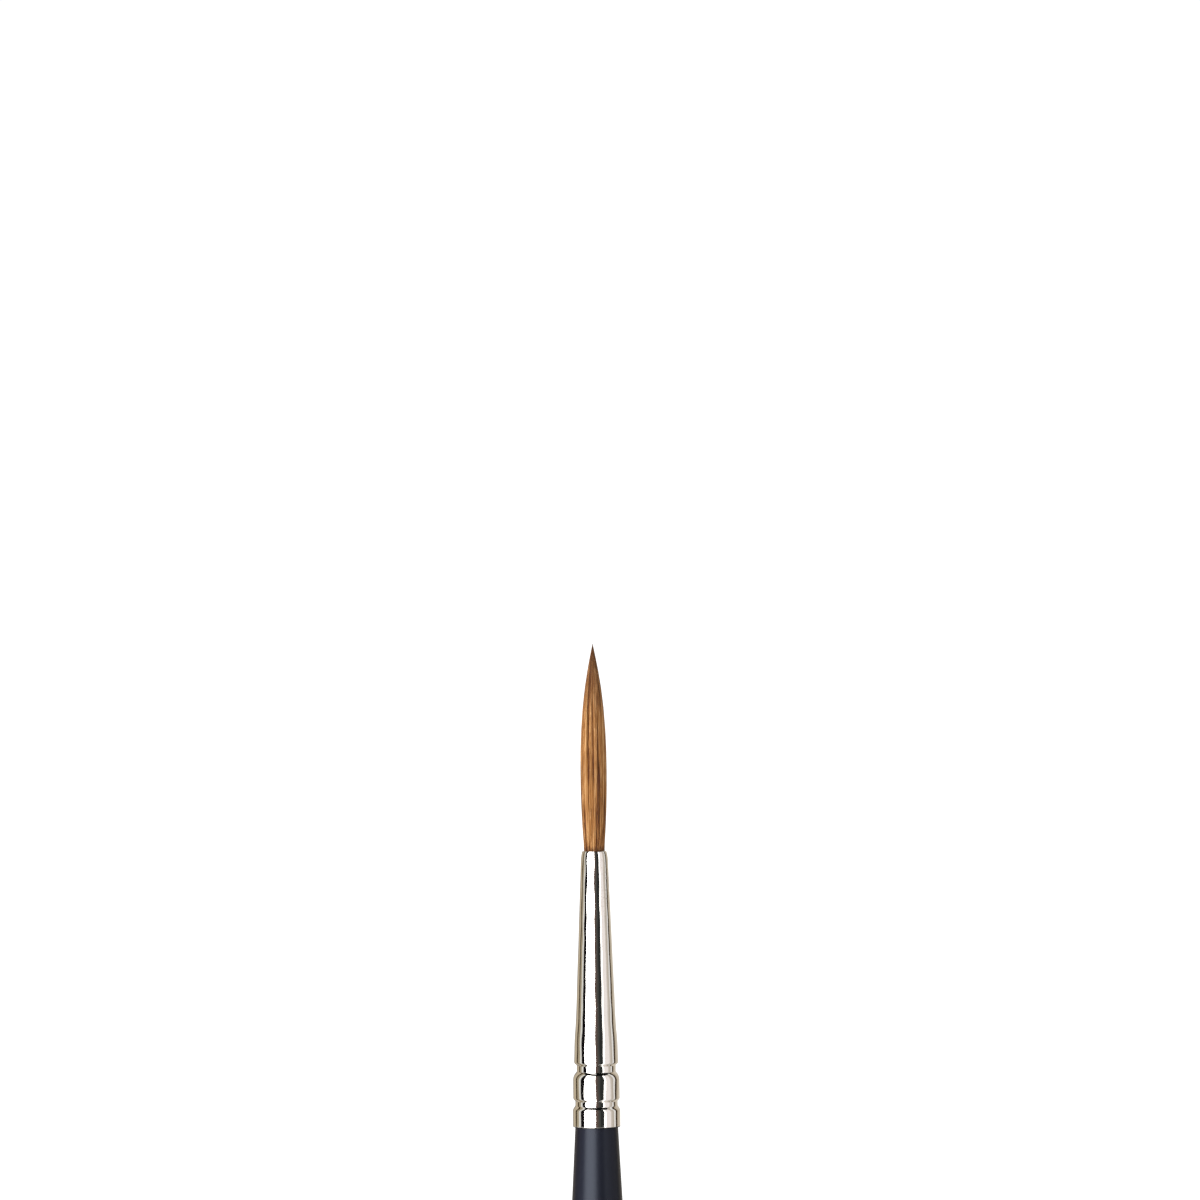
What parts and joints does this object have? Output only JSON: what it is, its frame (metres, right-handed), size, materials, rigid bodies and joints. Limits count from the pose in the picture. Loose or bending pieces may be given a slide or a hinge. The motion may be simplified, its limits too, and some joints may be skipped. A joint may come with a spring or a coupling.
{
  "type": "fine detail brush",
  "caption": "Slim round paint brush for fine detail: a long pointed hair tuft in a crimped conical metal ferrule, on a turned and lacquered wooden handle that swells into a belly.",
  "frame": {"origin": "lowest point of the rounded butt of the handle, on the brush's axis", "axes": "+Z along the brush's axis, from the butt of the handle to the tip of the hair; the brush is round about Z, so X and Y are free"},
  "size_m": [0.0066, 0.0066, 0.1952],
  "materials": {
    "hardwood": "bare, fine sanded",
    "navy_lacquer": "dipped lacquer, satin gloss",
    "nickel_plate": "bright nickel plate on brass",
    "wood_glue": "set glue, dull",
    "natural_hair": "natural hair, silky",
    "linen_thread": "plain thread",
    "hair_cement": "set cement, amber"
  },
  "bodies": {
    "root": {"handle": "hardwood", "handle_lacquer": "navy_lacquer", "ferrule": "nickel_plate", "tenon_glue": "wood_glue", "hair_tuft": "natural_hair", "binding_thread": "linen_thread", "root_resin": "hair_cement"}
  },
  "joints": []
}
